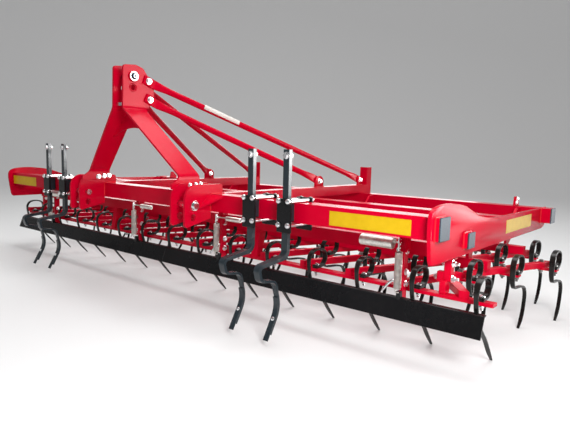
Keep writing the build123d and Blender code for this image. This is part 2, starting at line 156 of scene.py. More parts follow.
def paint(name, deep, bright, rough, coat, dust, soften=0.0025, gloss=0.20, tint=(1, 1, 1)):
    """Sprayed paint, a little mottled, with a fine orange peel and dust on what faces up."""
    made, nodes, links, shader = material(name)
    mottled = ramp(nodes, links, noise(nodes, links, 2.2, 3.0), (0.3, deep), (0.7, bright))
    shader.inputs["Coat Weight"].default_value = coat
    shader.inputs["Coat Roughness"].default_value = 0.06
    shader.inputs["Specular IOR Level"].default_value = gloss
    shader.inputs["Specular Tint"].default_value = (*tint, 1)
    patchy = ramp(nodes, links, noise(nodes, links, 5.0, 6.0),
                  (0.35, grey(rough * 0.8)), (0.75, grey(rough * 1.5)))
    links.new(patchy, shader.inputs["Roughness"])
    facing = nodes.new("ShaderNodeNewGeometry")
    split = nodes.new("ShaderNodeSeparateXYZ")
    links.new(facing.outputs["Normal"], split.inputs["Vector"])
    fine = ramp(nodes, links, noise(nodes, links, 60.0, 8.0), (0.45, grey(0)), (0.8, grey(dust)))
    amount = nodes.new("ShaderNodeMath")
    amount.operation = "MULTIPLY"
    amount.use_clamp = True
    links.new(split.outputs["Z"], amount.inputs[0])
    links.new(fine, amount.inputs[1])
    mix = nodes.new("ShaderNodeMixRGB")
    mix.inputs["Color2"].default_value = DUST
    links.new(amount.outputs["Value"], mix.inputs["Fac"])
    links.new(mottled, mix.inputs["Color1"])
    links.new(mix.outputs["Color"], shader.inputs["Base Color"])
    peel = noise(nodes, links, 420.0, 2.0)
    links.new(relief(nodes, links, peel, 0.10, 0.0006, soften), shader.inputs["Normal"])
    return made


def metal(name, dark, light, rough, soften=0.0012):
    """Bare or zinc-plated metal with a fine spangle."""
    made, nodes, links, shader = material(name)
    shader.inputs["Metallic"].default_value = 1.0
    spangle = noise(nodes, links, 90.0, 6.0)
    links.new(ramp(nodes, links, spangle, (0.3, dark), (0.7, light)), shader.inputs["Base Color"])
    links.new(ramp(nodes, links, noise(nodes, links, 14.0, 5.0),
                   (0.3, grey(rough * 0.7)), (0.8, grey(rough * 1.6))), shader.inputs["Roughness"])
    links.new(relief(nodes, links, spangle, 0.15, 0.0004, soften), shader.inputs["Normal"])
    return made


def plain(name, dark, light, rough, scale, soften=0.001):
    """Plastic or printed film with a fine grain."""
    made, nodes, links, shader = material(name)
    grain = noise(nodes, links, scale, 4.0)
    links.new(ramp(nodes, links, grain, (0.3, dark), (0.75, light)), shader.inputs["Base Color"])
    shader.inputs["Roughness"].default_value = rough
    shader.inputs["Specular IOR Level"].default_value = 0.15
    links.new(relief(nodes, links, grain, 0.2, 0.0005, soften), shader.inputs["Normal"])
    return made


RED = paint("red_gloss", (0.52, 0.000, 0.018), (0.62, 0.001, 0.024), 0.20, 0.0, 0.03,
            gloss=0.09, tint=(1, 0.5, 0.5))
WELD = paint("red_weld", (0.60, 0.004, 0.020), (0.80, 0.030, 0.035), 0.30, 0.2, 0.02, 0.0005)
BLACK = paint("black_gloss", (0.004, 0.004, 0.0045), (0.007, 0.007, 0.008), 0.26, 0.05, 0.02)
SLATE = paint("black_slate", (0.013, 0.020, 0.025), (0.020, 0.029, 0.036), 0.26, 0.3, 0.02)
SPRING_BLACK = paint("black_strip", (0.004, 0.004, 0.004), (0.010, 0.009, 0.008), 0.26, 0.12,
                     0.02, 0.0008)
ZINC = metal("zinc", (0.60, 0.61, 0.62), (0.86, 0.87, 0.88), 0.24)
SPRING = metal("spring_wire", (0.62, 0.61, 0.57), (0.90, 0.88, 0.83), 0.34, 0.0003)
BOLT = metal("bright_bolt", (0.78, 0.79, 0.81), (0.95, 0.95, 0.95), 0.30, 0.0008)
PIN = metal("pin_steel", (0.10, 0.14, 0.18), (0.34, 0.42, 0.50), 0.16)
DARK_BOLT = metal("dark_bolt", (0.10, 0.10, 0.10), (0.26, 0.25, 0.24), 0.34, 0.0008)
CAP = plain("cap_plastic", (0.030, 0.042, 0.058), (0.050, 0.066, 0.088), 0.42, 160.0, 0.002)
YELLOW = plain("label_yellow", (0.58, 0.36, 0.006), (0.66, 0.42, 0.010), 0.30, 30.0, 0.0003)
PALE = plain("label_pale", (0.72, 0.68, 0.62), (0.80, 0.77, 0.72), 0.35, 30.0, 0.0003)


# Mesh builders. Each adds to a bmesh; points and sizes are millimetres.

WASHER_T, THREAD = 2.0, 1.5
# Round bolt head: distance along, radius
DOME = ((0, 10.5), (4.5, 10.5), (7.5, 8.6), (9.2, 5), (9.6, 1))


def ring_basis(along):
    along = along.normalized()
    side = along.cross(Vector((0, 0, 1)))
    if side.length < 1e-3:
        side = Vector((1, 0, 0))
    side.normalize()
    return side, side.cross(along).normalized()


def loft(bm, rings, closed=False):
    """Skin between rings of equal count, with end faces unless closed."""
    rows = [[bm.verts.new(place(*p)) for p in ring] for ring in rings]
    n = len(rows[0])
    pairs = list(zip(rows, rows[1:])) + ([(rows[-1], rows[0])] if closed else [])
    for a, b in pairs:
        for i in range(n):
            bm.faces.new((a[i], a[(i + 1) % n], b[(i + 1) % n], b[i]))
    if not closed:
        bm.faces.new(rows[0][::-1])
        bm.faces.new(rows[-1])


def round_ring(centre, side, top, radius, count, turn=0.0):
    return [centre + side * (radius * math.cos(turn + math.tau * i / count))
            + top * (radius * math.sin(turn + math.tau * i / count)) for i in range(count)]


def turned(bm, start, along, profile, count=16, turn=0.0):
    """Solid of revolution: profile rows are (distance along, radius)."""
    along = Vector(along).normalized()
    side, top = ring_basis(along)
    loft(bm, [round_ring(Vector(start) + along * d, side, top, r, count, turn)
              for d, r in profile])


def bolt_head(bm, at, along, across, thick):
    """Washer and hexagon head with rounded corners, standing on a surface."""
    turned(bm, at, along, ((0, across * 0.70), (1.6, across * 0.72), (2.2, across * 0.66)), 20)
    r = across / math.sqrt(3)
    turned(bm, at, along, ((WASHER_T, r), (WASHER_T + thick * 0.8, r),
                           (WASHER_T + thick, r * 0.86)), 6, rng.random())


def bolt_tail(bm, at, along, across, thick, stub):
    """Nut on a washer, with the end of the thread standing out of it."""
    bolt_head(bm, at, along, across, thick)
    shank = across * 0.31
    face = WASHER_T + thick
    rows = [(face, shank)]
    for i in range(int(stub // THREAD)):
        rows += [(face + THREAD * i + 0.7, shank * 0.90), (face + THREAD * i + 1.4, shank)]
    turned(bm, at, along, rows + [(face + stub, shank * 0.8)], 12)


def slab(bm, low, high, cut):
    """Box with cut edges all round."""
    (x0, y0, z0), (x1, y1, z1) = low, high
    cut = min(cut, (x1 - x0) / 3, (y1 - y0) / 3, (z1 - z0) / 3)
    rings = []
    for z, inset in ((z0, cut), (z0 + cut, 0), (z1 - cut, 0), (z1, cut)):
        left, right, front, back = x0 + inset, x1 - inset, y0 + inset, y1 - inset
        rings.append([Vector(p) for p in (
            (left + cut, front, z), (right - cut, front, z), (right, front + cut, z),
            (right, back - cut, z), (right - cut, back, z), (left + cut, back, z),
            (left, back - cut, z), (left, front + cut, z))])
    loft(bm, rings)


def sided_slab(bm, side, xs, ys, zs, cut):
    """Slab that lies at xs on the left, or at the mirror place on the right."""
    x0, x1 = sorted((side * xs[0], side * xs[1]))
    slab(bm, (x0, ys[0], zs[0]), (x1, ys[1], zs[1]), cut)


def smooth_path(points, steps):
    """Points on a smooth curve through the given ones."""
    points = [Vector(p) for p in points]
    padded = [2 * points[0] - points[1]] + points + [2 * points[-1] - points[-2]]
    out = []
    for a, b, c, d in zip(padded, padded[1:], padded[2:], padded[3:]):
        for i in range(steps):
            t = i / steps
            out.append(0.5 * (2 * b + (c - a) * t + (2 * a - 5 * b + 4 * c - d) * t * t
                              + (3 * b - a - 3 * c + d) * t * t * t))
    return out + [points[-1]]


def tube(bm, path, radius, count, closed=False):
    """Round bar along points; radius is a number or one number for each point."""
    path = [Vector(p) for p in path]
    radii = radius if isinstance(radius, list) else [radius] * len(path)
    rings = []
    along = (path[1] - path[0]).normalized()
    side, top = ring_basis(along)
    for i, point in enumerate(path):
        before = path[i - 1] if i or closed else path[i]
        after = path[(i + 1) % len(path)] if i < len(path) - 1 or closed else path[i]
        now = (after - before).normalized()
        turn = along.rotation_difference(now)
        side, top, along = turn @ side, turn @ top, now
        rings.append(round_ring(point, side, top, radii[i], count))
    loft(bm, rings, closed)


def coil(bm, start, end, radius, wire, turns):
    """Helix of round wire between two points."""
    start, end = Vector(start), Vector(end)
    side, top = ring_basis(end - start)
    steps = 14
    total = turns * steps
    path = [start.lerp(end, i / total) + side * (radius * math.cos(math.tau * i / steps))
            + top * (radius * math.sin(math.tau * i / steps)) for i in range(total + 1)]
    tube(bm, path, wire, 7)


def eye(bm, centre, normal, radius, wire):
    """Hook bent from wire: a ring with a small gap."""
    side, top = ring_basis(Vector(normal))
    opening, count = 0.12, 20
    path = [Vector(centre) + side * (radius * math.cos(math.tau * t))
            + top * (radius * math.sin(math.tau * t))
            for t in (opening + (1 - 2 * opening) * i / count for i in range(count + 1))]
    tube(bm, path, wire, 8)


def bead(bm, start, end, radius):
    """Weld bead: a low ripple of overlapping drops."""
    start, end = Vector(start), Vector(end)
    drop = 3.4
    n = max(4, int((end - start).length / drop))
    path = [start.lerp(end, i / n) for i in range(n + 1)]
    tube(bm, path, [radius * (0.82 + 0.22 * (i % 2) + 0.08 * rng.random()) for i in range(n + 1)], 8)


def cad_copy(name):
    """Mesh of a CAD node, for a piece that stands for it with a change."""
    bm = bmesh.new()
    bm.from_mesh(frame["nodes"][name].data)
    return bm


def millimetres(vert):
    return (vert.co - ORIGIN) / MM


def cut_plate(bm, outline, x0, x1, edge):
    """Flat plate across X with its outline (y, z) and softly rounded edges."""
    n = len(outline)
    faces = [[bm.verts.new(place(x, y, z)) for y, z in outline] for x in (x0, x1)]
    caps = [bm.faces.new(faces[0][::-1]), bm.faces.new(faces[1])]
    for i in range(n):
        bm.faces.new((faces[0][i], faces[0][(i + 1) % n], faces[1][(i + 1) % n], faces[1][i]))
    rims = {e for cap in caps for e in cap.edges}
    bmesh.ops.bevel(bm, geom=list(rims), offset=edge * MM, segments=2, profile=0.5,
                    affect="EDGES")


def holed_plate(bm, loops, x0, x1):
    """Flat plate across X; the first loop (y, z) is its outline, the others are holes."""
    edges = []
    for loop in loops:
        verts = [bm.verts.new(place(x0, y, z)) for y, z in loop]
        edges += [bm.edges.new(pair) for pair in zip(verts, verts[1:] + verts[:1])]
    filled = bmesh.ops.triangle_fill(bm, use_beauty=True, edges=edges)["geom"]
    faces = [g for g in filled if isinstance(g, bmesh.types.BMFace)]
    grown = bmesh.ops.extrude_face_region(bm, geom=faces)["geom"]
    moved = [g for g in grown if isinstance(g, bmesh.types.BMVert)]
    bmesh.ops.translate(bm, verts=moved, vec=Vector((x1 - x0, 0, 0)) * MM)


def arc(y, z, radius, start, end, steps):
    """Points (y, z) on an arc; its angles are degrees."""
    angles = (math.radians(start + (end - start) * i / steps) for i in range(steps + 1))
    return [(y + radius * math.cos(t), z + radius * math.sin(t)) for t in angles]


def piece(name, bm, looks, replaces=(), angle=35):
    """Turn a bmesh into a finished piece, sharp where it bends by more than angle."""
    mesh = bpy.data.meshes.new(name)
    bmesh.ops.recalc_face_normals(bm, faces=bm.faces)
    for face in bm.faces:
        face.smooth = True
    for edge in bm.edges:
        if len(edge.link_faces) == 2 and edge.calc_face_angle(0) > math.radians(angle):
            edge.smooth = False
    bm.to_mesh(mesh)
    bm.free()
    mesh.materials.append(looks)
    made = bpy.data.objects.new(name, mesh)
    bpy.context.scene.collection.objects.link(made)
    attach(made, "root")
    if replaces:
        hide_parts(*replaces)


# Finish of the nodes that stay

looks_of = {"red_paint": RED, "black_paint": BLACK, "zinc": ZINC, "grey_plastic": CAP}
slot_of = {part["node"]: part["material_slot"] for part in frame["record"]["subparts"]}
for name, node in frame["nodes"].items():
    looks = SLATE if name.startswith("loosener_points") else looks_of[slot_of[name]]
    for spot in node.material_slots:
        spot.material = looks
    if not node.material_slots:
        node.data.materials.append(looks)


# End plates with their curved outline, points (y, z)

PLATE_T, PLATE_EDGE, STUB, CAP_T = 13.0, 2.5, 15.0, 5.0
PLATE_IN, STUB_END = FRAME_HALF - PLATE_T, FRAME_HALF + STUB
PLATE_CURVE = ((-13, 395), (-19, 430), (-28, 500), (-27, 527), (-19, 544), (-2, 555), (30, 563),
               (76, 567), (122, 567), (172, 563), (224, 556), (276, 543), (326, 526), (376, 510),
               (440, 498), (520, 488), (620, 484), (800, 483))
PLATE_REST = ((1290, 478), (1316, 470), (1325, 450), (1324, 428), (1308, 402), (1280, 386),
              (1240, 379), (600, 379), (0, 376), (-9, 382))
# Ends of the two front beams outside the plates: y, y, z, z
FRONT_END = (0.0, BEAM_D, BEAM_LOW, BEAM_TOP)
SECOND_END = (243.0, 301.0, 403.0, 458.0)

plate_line = [(p.y, p.z) for p in smooth_path([(0, y, z) for y, z in PLATE_CURVE], 2)]
for side, suffix in SIDES:
    plates, stubs, caps = bmesh.new(), bmesh.new(), cad_copy("beam_caps_" + suffix)
    cut_plate(plates, plate_line + list(PLATE_REST), side * PLATE_IN, side * FRAME_HALF,
              PLATE_EDGE)
    # Only the rear beam keeps its CAD cap
    old = [v for v in caps.verts if millimetres(v).y < REAR_FRONT / 2]
    bmesh.ops.delete(caps, geom=old, context="VERTS")
    for y0, y1, z0, z1 in (FRONT_END, SECOND_END):
        sided_slab(caps, side, (STUB_END, STUB_END + CAP_T), (y0 - 1, y1 + 1), (z0 - 1, z1 + 1), 1.5)
    sided_slab(stubs, side, (FRAME_HALF - 1, STUB_END), SECOND_END[:2], SECOND_END[2:], 3.0)
    piece("side_plate_" + suffix, plates, RED, ["end_plate_" + suffix], 50)
    piece("beam_stub_" + suffix, stubs, RED)
    piece("beam_end_caps_" + suffix, caps, CAP, ["beam_caps_" + suffix])

# The front beam ends at its caps, and the second one behind the plates
for name, half in (("front_beam", STUB_END), ("second_beam", PLATE_IN + 1)):
    bm = cad_copy(name)
    for v in bm.verts:
        if abs(millimetres(v).x) > half:
            v.co.x = place(math.copysign(half, millimetres(v).x), 0, 0).x
    piece(name + "_tube", bm, RED, [name])


# Stays: tubes whose ends are flattened to a wide tongue, bolted to the mast and to lugs

STAY_R, TONGUE, LUG_T = 15.0, 40.0, 10.0
MAST_TONGUE_X, LUG_TONGUE_X = 48.3, LONG_X - LUG_T / 2 - 4.3
MAST_BOLTS = {"upper": (-19.0, 1031.0), "lower": (-11.0, 946.0)}
FRONT_LUG, REAR_LUG = (814.0, 562.0), (1232.0, 560.0)
# Bolt (y, z), half width, height over the bolt
LUGS = ((FRONT_LUG, 37.0, 30.0), (REAR_LUG, 23.0, 23.0))
# Place from the bolt, half thickness, half width, squareness
FISHTAIL = ((-25, 3.2, 19.5, 9), (-23, 4.0, 21.0, 9), (30, 4.0, 21.0, 8), (50, 5.5, 20.6, 4),
            (78, 10.5, 18.2, 2.6), (108, 14.4, 15.6, 2.1), (130, STAY_R, STAY_R, 2))


def squared_ring(centre, thick, across, half_t, half_w, power):
    """Ring that goes from an ellipse, at a power of 2, to a rectangle, at a high one."""
    count = 24
    ring = []
    for i in range(count):
        u, w = math.cos(math.tau * i / count), math.sin(math.tau * i / count)
        ring.append(centre + thick * (half_t * math.copysign(abs(u) ** (2 / power), u))
                    + across * (half_w * math.copysign(abs(w) ** (2 / power), w)))
    return ring


def stay_ends(side, mast_bolt, lug):
    return Vector((side * MAST_TONGUE_X, *mast_bolt)), Vector((side * LUG_TONGUE_X, *lug))


def stay(bm, start, end):
    run = Vector((0, end.y - start.y, end.z - start.z)).normalized()
    bends = start + run * TONGUE, end - run * TONGUE
    along = (bends[1] - bends[0]).normalized()
    rings = []
    for way, bolt, bend, rows in ((1, start, bends[0], FISHTAIL),
                                  (-1, end, bends[1], FISHTAIL[::-1])):
        for s, half_t, half_w, power in rows:
            ahead = run if s < TONGUE else along
            point = bolt + run * s * way if s < TONGUE else bend + along * (s - TONGUE) * way
            across = Vector((1, 0, 0)).cross(ahead).normalized()
            rings.append(squared_ring(point, ahead.cross(across), across, half_t, half_w, power))
    loft(bm, rings)


for side, suffix in SIDES:
    for level_name, lug in (("upper", REAR_LUG), ("lower", FRONT_LUG)):
        bm = bmesh.new()
        stay(bm, *stay_ends(side, MAST_BOLTS[level_name], lug))
        piece(f"stay_{level_name}_tube_{suffix}", bm, RED,
              [f"stay_{level_name}_{suffix}"])
    lugs = bmesh.new()
    for (y, z), half, rise in LUGS:
        line = [(y + half * math.cos(t), z + rise * math.sin(t))
                for t in (math.pi * i / 14 for i in range(15))]
        cut_plate(lugs, [(y + half, BEAM_TOP)] + line + [(y - half, BEAM_TOP)],
                  side * LONG_X - LUG_T / 2, side * LONG_X + LUG_T / 2, 1.5)
    piece("stay_lugs_" + suffix, lugs, RED, ["stay_ears_" + suffix], 50)


# Top pin with a bright ring on each cheek, and the rim of the hole below it

CHEEK_X, BOSS_X, PIN_Y, PIN_Z = 44.0, 50.0, middle("top_pin", Y), middle("top_pin", Z)
SPARE_Z = PIN_Z - 50.0
PIN_R, PIN_PAST, RIM_R, RIM_WIRE = 12.5, 14.0, 17.5, 2.6
PIN_LEN = 2 * (BOSS_X + PIN_PAST)
# Distance along, radius
PIN_PROFILE = ((0, 9), (3, 12), (11, PIN_R), (PIN_LEN - 11, PIN_R), (PIN_LEN - 3, 12), (PIN_LEN, 9))
RING_PROFILE = ((0, 22), (2.5, 22.5), (4.5, 21), (4.8, 16.5), (3.0, 16))
END_PROFILE = ((0, 16), (5, 15.6), (8.5, 13), (10.4, 8), (11, 2))

bar, rims, rings, domes = bmesh.new(), bmesh.new(), bmesh.new(), bmesh.new()
turned(bar, (-BOSS_X - PIN_PAST, PIN_Y, PIN_Z), (1, 0, 0), PIN_PROFILE, 28)
for side, _ in SIDES:
    turned(rings, (side * (BOSS_X + 0.3), PIN_Y, PIN_Z), (side, 0, 0), RING_PROFILE, 32)
    turned(domes, (side * (BOSS_X + 3.4), PIN_Y, PIN_Z), (side, 0, 0), END_PROFILE, 28)
    circle = [(side * (CHEEK_X + 0.4), PIN_Y + RIM_R * math.cos(t), SPARE_Z + RIM_R * math.sin(t))
              for t in (math.tau * i / 30 for i in range(30))]
    tube(rims, circle, RIM_WIRE, 8, closed=True)
piece("top_pin_bar", bar, PIN, ["top_pin"])
piece("top_pin_rings", rings, BOLT)
piece("top_pin_ends", domes, SLATE)
piece("spare_hole_rims", rims, RED)


# Lower hitch brackets: two plates with a round nose, and a sloping gusset outside

BRACKET_X = ((369.0, 381.0), (459.0, 471.0))
HOLE_Y, HOLES_Z = middle("lower_pin_left", Y), (middle("lower_pin_left", Z), 434.0)
HOLE_R, GUSSET_T = 14.3, 8.0
GUSSET = ((470.6, -82, 468), (470.6, -6, 529), (552, 0.4, 527))
bracket_line = (arc(-127, 408, 16, 180, 250, 5)
                + [(0, 423), (0, BEAM_TOP), (68, BEAM_TOP), (68, 562)]
                + arc(56, 560, 12, 0, 90, 4) + arc(-78, 507, 65, 90, 180, 12))

holes = [arc(HOLE_Y, z, HOLE_R, 0, 348.75, 31) for z in HOLES_Z]
for side, suffix in SIDES:
    bm = bmesh.new()
    for x0, x1 in BRACKET_X:
        holed_plate(bm, [bracket_line] + holes, side * x0, side * x1)
    corners = [Vector((side * x, y, z)) for x, y, z in GUSSET]
    normal = (corners[1] - corners[0]).cross(corners[2] - corners[0]).normalized() * GUSSET_T
    if normal.z > 0:
        normal = -normal
    loft(bm, [corners, [c + normal for c in corners]])
    piece("hitch_brackets_" + suffix, bm, RED, ["hitch_plates_" + suffix])

# Mast plates, bent a little lower at the foot
FOOT_BEND, FOOT_DROP = (592, 700), 16.0
for _, suffix in SIDES:
    bm = cad_copy("mast_side_" + suffix)
    for v in bm.verts:
        if FOOT_BEND[0] < millimetres(v).z < FOOT_BEND[1]:
            v.co.z -= FOOT_DROP * MM
    piece("mast_plate_" + suffix, bm, RED, ["mast_side_" + suffix])


# Hangers of the front tie: the one near each end plate is a post, a block and a foot

NEAR_PLATE = FRAME_HALF - 100.0
# x, y and z, each from and to
HANGER_BLOCKS = (((1457, 1483), (193, 222), (288, 367)), ((1431, 1458), (196, 220), (283, 320)),
                 ((1449, 1472), (178, 218), (245, 292)))
# Height, and the face under the bolt's inner end
HANGER_BOLTS = ((352, 1457), (298, 1431))
HANGER_Y, HANGER_BOLT_R = 207, 5.5

for side, suffix in SIDES:
    bm, bolts = cad_copy("front_hangers_" + suffix), bmesh.new()
    old = [v for v in bm.verts if abs(millimetres(v).x) > NEAR_PLATE]
    bmesh.ops.delete(bm, geom=old, context="VERTS")
    for xs, ys, zs in HANGER_BLOCKS:
        sided_slab(bm, side, xs, ys, zs, 2.0)
    outer = HANGER_BLOCKS[0][0][1]
    for z, inner in HANGER_BOLTS:
        tube(bolts, ((side * (inner - 14), HANGER_Y, z), (side * (outer + 23), HANGER_Y, z)),
             HANGER_BOLT_R, 12)
        bolt_head(bolts, (side * outer, HANGER_Y, z), (side, 0, 0), 18, 9)
        bolt_head(bolts, (side * inner, HANGER_Y, z), (-side, 0, 0), 18, 9)
    piece("tie_hangers_" + suffix, bm, RED, ["front_hangers_" + suffix])
    piece("hanger_bolts_" + suffix, bolts, BOLT)


# Track looseners: shanks, with the packing behind them as wide as the shank

LOOSENER_X = (742.0, 924.0)
SHANK_W, SHANK_T, SHANK_Y = 28.0, 18.0, -29.0
PACKING_Y, PACKING_LOW = SHANK_Y + SHANK_T / 2, 430

for _, suffix in SIDES:
    bm = cad_copy("loosener_shanks_" + suffix)
    for v in bm.verts:
        x, y, z = millimetres(v)
        shank_x = math.copysign(min(LOOSENER_X, key=lambda m: abs(m - abs(x))), x)
        if PACKING_Y - 0.6 < y < 0.6 and abs(x - shank_x) > SHANK_W / 2 + 1 and z > PACKING_LOW:
            v.co.x = place(shank_x + math.copysign(SHANK_W / 2, x - shank_x), 0, 0).x
    bmesh.ops.dissolve_degenerate(bm, dist=0.2 * MM, edges=bm.edges)
    piece("loosener_bars_" + suffix, bm, SLATE, ["loosener_shanks_" + suffix])


# Spring tines: one strip each, swept along a smooth line (y, z) from the loop's middle

TINE_W, TINE_T, TINE_PITCH, LOOP_Z = 22.0, 8.0, 228.0, 290.0
# Row: y, first column, last column
ROWS = {"a": (190.0, -7, 7), "b": (460.0, -7, 6), "c": (692.0, -7, 6),
        "d": (925.0, -7, 6), "e": (1150.0, -7, 5)}
SKEW, BAR_ASIDE, BAR_W, BAR_LOW = 0.38, 54.0, 26.0, 246.0
TIE_T, SEAT_T, SHOE_T, BAR_BOLT_ASIDE = 12.0, 8.0, 6.0, 4.0
TINE_SEAT = ((-14.0, -40.0), (18.0, -40.0), (42.0, -33.0), (57.5, -12.0), (54.0, 14.0),
             (36.0, 29.0), (8.0, 35.0), (-20.0, 33.0))
SWEPT_LEG = ((-43.0, 20.0), (-54.0, -4.0), (-52.5, -34.0), (-45.0, -68.0), (-23.0, -116.0),
             (17.0, -157.0), (60.0, -197.0), (98.0, -243.0), (138.0, -288.0))
HOOKED_LEG = ((-46.0, 22.0), (-59.0, -4.0), (-59.0, -36.0), (-54.0, -66.0), (-37.0, -91.0),
              (0.0, -98.0), (58.0, -103.0), (107.0, -116.0), (130.0, -146.0), (130.0, -180.0),
              (120.0, -222.0), (100.0, -258.0), (72.0, -288.0))
TINE_BOLT = ((0, 10), (3, 9.4), (5.5, 6), (6.4, 2))
SHOE_HALF, SHOE_FRONT, SHOE_BACK = 15, 14, 16
# Shares of a strip's length: where the taper starts, how long it is, and the rounded tip
TAPER_FROM, TAPER_LEN, TIP_LEN = 0.52, 0.16, 0.05


def tine(bm, x, y, leg):
    line = smooth_path([(x, y + u, LOOP_Z + v) for u, v in TINE_SEAT + leg], 3)
    n = len(line)
    cut = 1.6
    rings = []
    for i, point in enumerate(line):
        along = (line[min(i + 1, n - 1)] - line[max(i - 1, 0)]).normalized()
        across, out = Vector((1, 0, 0)), Vector((0, -along.z, along.y))
        # Tapered from the loop to the leg, and rounded off at the tip
        left_over = (n - 1 - i) / n
        narrow = min(1.0, max(0.0, (TAPER_FROM - left_over) / TAPER_LEN))
        full = min(1.0, left_over / TIP_LEN)
        w = TINE_W / 2 * (1 - 0.30 * narrow) * (0.7 + 0.3 * full)
        t = TINE_T / 2 * (0.6 + 0.4 * full)
        rings.append([point + across * a + out * b for a, b in (
            (w - cut, t), (cut - w, t), (-w, t - cut), (-w, cut - t),
            (cut - w, -t), (w - cut, -t), (w, cut - t), (w, t - cut))])
    loft(bm, rings)


for row, (y, first, last) in ROWS.items():
    bm, shoes, bolts = bmesh.new(), bmesh.new(), bmesh.new()
    seat = LOOP_Z + TINE_SEAT[0][1] + TINE_T / 2
    low = BAR_LOW - (TIE_T if row == "a" else SEAT_T)
    for col in range(first, last + 1):
        x = col * TINE_PITCH + (y - ROWS["a"][0]) * SKEW
        tine(bm, x, y, SWEPT_LEG if row == "a" else HOOKED_LEG)
        slab(shoes, (x - SHOE_HALF, y - SHOE_FRONT, seat),
             (x + SHOE_HALF, y + SHOE_BACK, seat + SHOE_T), 2.0)
        turned(bolts, (x, y + 1, seat + SHOE_T), (0, 0, 1), TINE_BOLT, 14)
        bolt_tail(bolts, (x, y + 1, low), (0, 0, -1), 17.0, 9.0, 9.0)
        if row != "a":
            bar_x = x - BAR_ASIDE - BAR_BOLT_ASIDE
            bolt_tail(bolts, (bar_x, y + 1, low), (0, 0, -1), 17.0, 9.0, 6.0)
            bolt_head(bolts, (bar_x, y + 1, BAR_LOW + BAR_W), (0, 0, 1), 17.0, 7.0)
    piece("tine_strips_" + row, bm, SPRING_BLACK, ["tines_row_" + row])
    piece("tine_clamps_" + row, shoes, SPRING_BLACK)
    piece("tine_bolts_" + row, bolts, ZINC if row == "a" else DARK_BOLT)


# Springs of the levelling board's arms, their links, height pins and bolts

ARM_X, ARM_SHIFT, ARM_FACE, ARM_HALF = (328.0, 1264.0), 62.0, 137.0, 6.0
SPRING_Y, SPRING_LOW, SPRING_TOP = 110.0, span("board_springs_left", Z)[0], 394.0
SPRING_R, WIRE = 11.6, 2.4
SIDE_Z, SIDE_LEN, SIDE_WIRE = 411.0, 155.0, 2.8
# Side spring of an arm: start, radius, wire, turns
SMALL_SPRING, LARGE_SPRING = (66, 9.0, WIRE, 17), (22, 18.2, SIDE_WIRE, 23)
ARM_BOLTS = ((156, 382), (156, 306), (156, 262))


def height_pin(bm, x):
    """Pin through the arm, with its bent handle."""
    handle = smooth_path(((x - 4, 150, 268), (x - 30, 150, 268), (x - 44, 149, 266),
                          (x - 58, 147, 252), (x - 78, 143, 226)), 5)
    tube(bm, [(x + 20, 150, 268)] + handle, 4.5, 10)


def upright_spring(bm, x):
    coil(bm, (x, SPRING_Y, SPRING_LOW + 12), (x, SPRING_Y, SPRING_TOP - 12), SPRING_R, WIRE, 26)
    for z in (SPRING_LOW + 5, SPRING_TOP - 3):
        eye(bm, (x, SPRING_Y, z), (0, 1, 0), 8.0, WIRE)


def wire_on(bm, x, way, points, steps, wire):
    """Bent wire of a side spring, points (distance from the arm, height over its middle)."""
    tube(bm, smooth_path([(x + way * d, SPRING_Y, SIDE_Z + h) for d, h in points], steps), wire, 8)


def side_spring(bm, x, way, small):
    start, radius, wire, turns = SMALL_SPRING if small else LARGE_SPRING
    coil(bm, (x + way * start, SPRING_Y, SIDE_Z), (x + way * SIDE_LEN, SPRING_Y, SIDE_Z),
         radius, wire, turns)
    if small:
        wire_on(bm, x, way, ((70, 9), (58, 3), (6, 2)), 4, 2.6)
    else:
        wire_on(bm, x, way, ((30, 17), (16, 10), (6, 4)), 4, SIDE_WIRE)
        wire_on(bm, x, way, ((SIDE_LEN - 6, -17), (SIDE_LEN - 1, -6), (SIDE_LEN - 30, 0),
                             (SIDE_LEN - 60, 0)), 5, SIDE_WIRE)


def spring_link(bm, x, way, small):
    """Upright link over the spring, its stud on the arm, and the small spring's end hook."""
    top = SIDE_Z + (14 if small else 20)
    slab(bm, (x - 3, SPRING_Y - 7, SPRING_TOP - 8), (x + 3, SPRING_Y + 7, top), 2)
    tube(bm, ((x, SPRING_Y, SIDE_Z), (x, ARM_FACE + 4, SIDE_Z)), 5.0, 12)
    if small:
        end = x + way * SIDE_LEN
        tube(bm, ((end, SPRING_Y, SIDE_Z), (end - way * 8, SPRING_Y, SIDE_Z + 8)), 3.0, 8)


for side, suffix in SIDES:
    springs, links, bolts = bmesh.new(), bmesh.new(), bmesh.new()
    for arm in ARM_X:
        x = side * arm + ARM_SHIFT
        way = -1 if x > FRAME_HALF / 2 else 1
        small = arm == ARM_X[0]
        upright_spring(springs, x)
        height_pin(links, x)
        for y, z in ARM_BOLTS:
            bolt_head(bolts, (x + ARM_HALF, y, z), (1, 0, 0), 17.0, 7.0)
        side_spring(springs, x, way, small)
        spring_link(links, x, way, small)
    piece("springs_" + suffix, springs, SPRING, ["board_springs_" + suffix], 60)
    piece("spring_links_" + suffix, links, ZINC)
    piece("arm_bolts_" + suffix, bolts, BOLT)


# Track loosener clamps: two plates and four long bolts round the beam

CLAMP_T, CLAMP_TOP, CLAMP_H, CLAMP_R, CLAMP_GAP = 10.0, 547.0, 128.0, 7.0, 23.0
CLAMP_FRONT, CLAMP_BACK = SHANK_Y - SHANK_T / 2 - CLAMP_T, BEAM_D + CLAMP_T
FRONT_HALF, BACK_HALF = 34.0, 38.0
SHANK_BOLT_Z, POINT_BOLT, POINT_LOOK = 708, (-92.5, 96), (0, -0.88, 0.48)
POINT_PROFILE = ((0, 8), (2.5, 8), (5, 6.4), (6.6, 3.2), (7, 1))

